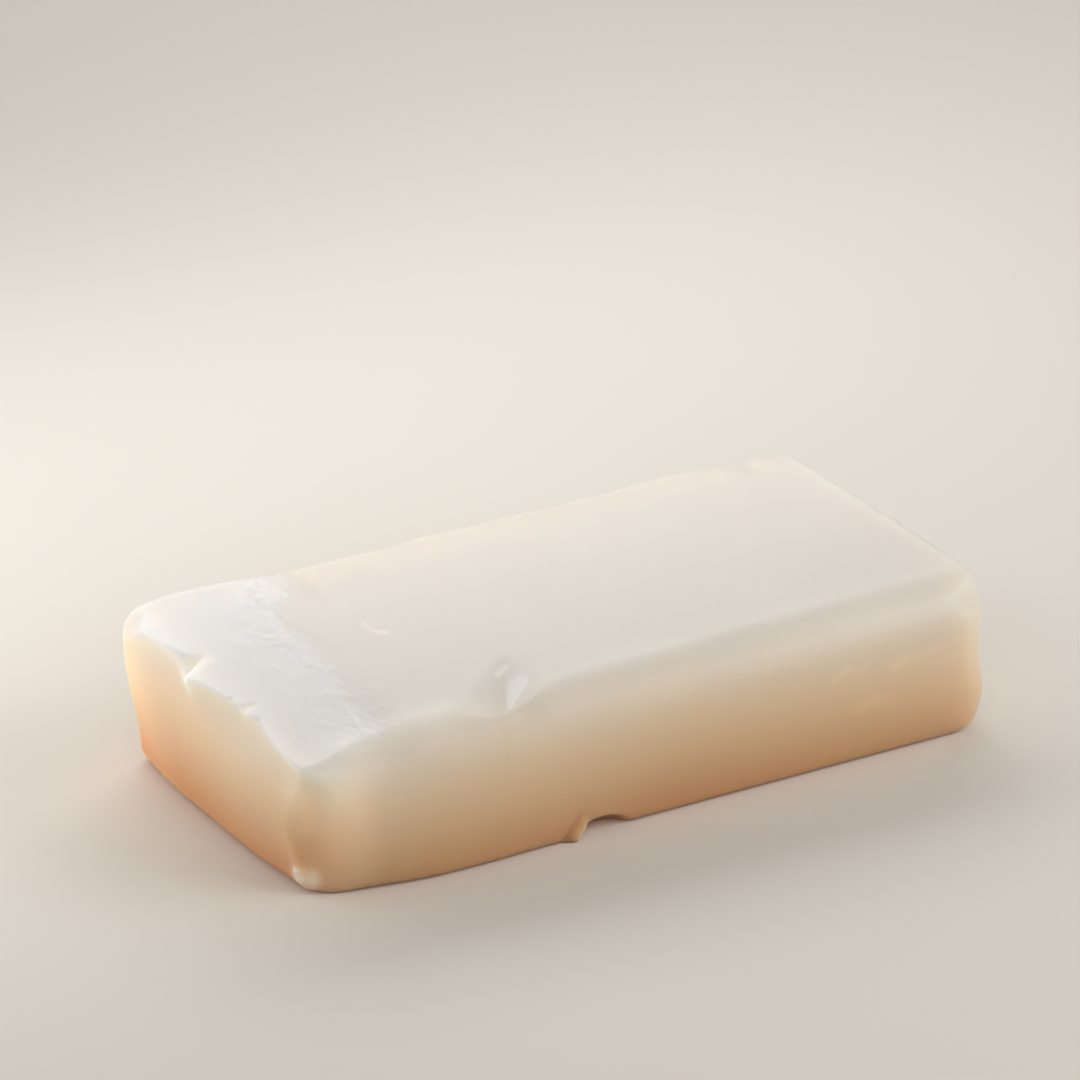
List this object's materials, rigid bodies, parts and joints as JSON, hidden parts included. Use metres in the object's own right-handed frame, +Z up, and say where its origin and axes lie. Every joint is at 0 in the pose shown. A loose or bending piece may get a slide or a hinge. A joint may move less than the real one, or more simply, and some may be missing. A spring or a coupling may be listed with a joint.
{
  "type": "konjac block",
  "caption": "Block of firm white konjac gel with soft moulded long edges, a ragged cut end, a dimple in its top front edge and a torn chip at its foot, lying flat.",
  "frame": {"origin": "centre of the bounding box's underside, where the flat base rests", "axes": "+X along the length, away from the ragged cut end; +Y to the back, away from the side with the dimple and the chip; +Z up"},
  "size_m": [0.1476, 0.0738, 0.0331],
  "materials": {
    "konjac_gel": "wet gloss"
  },
  "bodies": {
    "root": {"konjac_block": "konjac_gel"}
  },
  "joints": []
}
